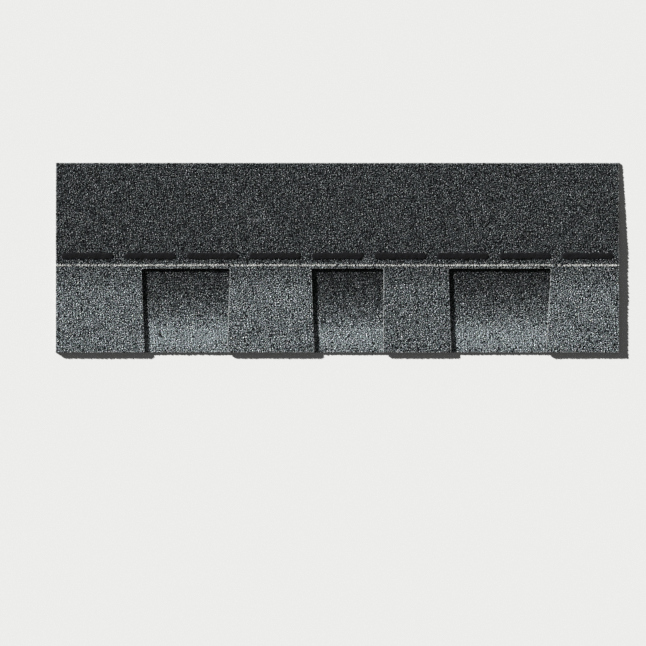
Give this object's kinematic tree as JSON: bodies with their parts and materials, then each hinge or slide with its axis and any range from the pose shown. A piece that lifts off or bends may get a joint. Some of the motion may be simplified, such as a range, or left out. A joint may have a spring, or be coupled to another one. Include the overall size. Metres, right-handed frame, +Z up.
{
  "type": "laminated asphalt shingle",
  "caption": "Two-ply laminated asphalt roof shingle with random-width teeth over a full-length backer strip, granule surfaced in a grey blend.",
  "frame": {"origin": "on the floor, under the middle of the shingle's length and height", "axes": "+X along the shingle, +Y from the butt edge to the top of the headlap, +Z up, out of the weather face"},
  "size_m": [1, 0.337, 0.0063],
  "materials": {
    "granule_sheet": "ceramic-coated mineral granules pressed into asphalt, grey and blue-grey blend",
    "granule_backer": "mineral granules in a band from near black to light blue-grey",
    "asphalt": "filled asphalt",
    "sealant": "smooth, slightly glossy asphalt sealant",
    "film": "thin clear polyester film"
  },
  "bodies": {
    "root": {"dragon_tooth_sheet": "granule_sheet", "backer_strip": "granule_backer", "laminating_adhesive": "asphalt", "self_seal_strip": "sealant", "release_film": "film"}
  },
  "joints": []
}
